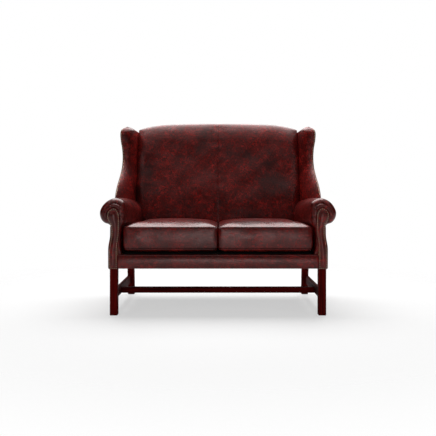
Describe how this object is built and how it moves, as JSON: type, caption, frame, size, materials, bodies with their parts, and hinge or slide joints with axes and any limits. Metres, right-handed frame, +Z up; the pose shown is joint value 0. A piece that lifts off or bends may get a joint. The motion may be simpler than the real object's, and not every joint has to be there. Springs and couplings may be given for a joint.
{
  "type": "high back settee",
  "caption": "High back settee with wings, scroll arms edged in studs, loose seat cushions that pull out forwards, and square legs joined by an H stretcher.",
  "frame": {"origin": "on the floor, under the middle of the settee's bounding box", "axes": "+X to the right along the width as seen from the front, +Y from the front to the back, +Z up"},
  "size_m": [1.3264, 0.8584, 1.1534],
  "materials": {
    "leather": "oxblood leather, rubbed to show lighter veins, soft sheen",
    "stained_wood": "dark mahogany stain, satin lacquer",
    "frame_wood": "raw beech",
    "spring_steel": "plain spring wire",
    "jute": "plain jute webbing and deck cloth",
    "black_cloth": "thin black dust cloth"
  },
  "bodies": {
    "settee_frame": {"front_leg_left": "stained_wood", "front_leg_right": "stained_wood", "rear_leg_left": "stained_wood", "rear_leg_right": "stained_wood", "side_stretcher_left": "stained_wood", "side_stretcher_right": "stained_wood", "centre_stretcher": "stained_wood", "front_seat_rail": "frame_wood", "rear_seat_rail": "frame_wood", "side_seat_rail_left": "frame_wood", "side_seat_rail_right": "frame_wood", "seat_brace": "frame_wood", "corner_block_front_left": "frame_wood", "corner_block_front_right": "frame_wood", "corner_block_rear_left": "frame_wood", "corner_block_rear_right": "frame_wood", "arm_post_left": "frame_wood", "arm_post_right": "frame_wood", "arm_rail_left": "frame_wood", "arm_rail_right": "frame_wood", "back_post_left": "frame_wood", "back_post_right": "frame_wood", "back_top_rail": "frame_wood", "back_lower_rail": "frame_wood", "wing_frame_left": "frame_wood", "wing_frame_right": "frame_wood", "seat_spring_1": "spring_steel", "seat_spring_2": "spring_steel", "seat_spring_3": "spring_steel", "seat_spring_4": "spring_steel", "seat_spring_5": "spring_steel", "seat_spring_6": "spring_steel", "seat_spring_7": "spring_steel", "seat_spring_8": "spring_steel", "back_web_1": "jute", "back_web_2": "jute", "back_web_3": "jute", "back_web_4": "jute", "seat_deck": "jute", "dust_cover": "black_cloth", "inside_back": "leather", "outside_back": "leather", "front_border": "leather", "inside_arm_left": "leather", "inside_arm_right": "leather", "outside_arm_left": "leather", "outside_arm_right": "leather", "arm_facing_left": "leather", "arm_facing_right": "leather", "inside_wing_left": "leather", "inside_wing_right": "leather", "outside_wing_left": "leather", "outside_wing_right": "leather"},
    "left_cushion": {"seat_cushion_left": "leather"},
    "right_cushion": {"seat_cushion_right": "leather"}
  },
  "joints": [
    {"name": "left_cushion_slide", "type": "slide", "parent": "settee_frame", "child": "left_cushion", "axis": [0, -1, 0], "range_m": [0, 0.6]},
    {"name": "right_cushion_slide", "type": "slide", "parent": "settee_frame", "child": "right_cushion", "axis": [0, -1, 0], "range_m": [0, 0.6]}
  ]
}
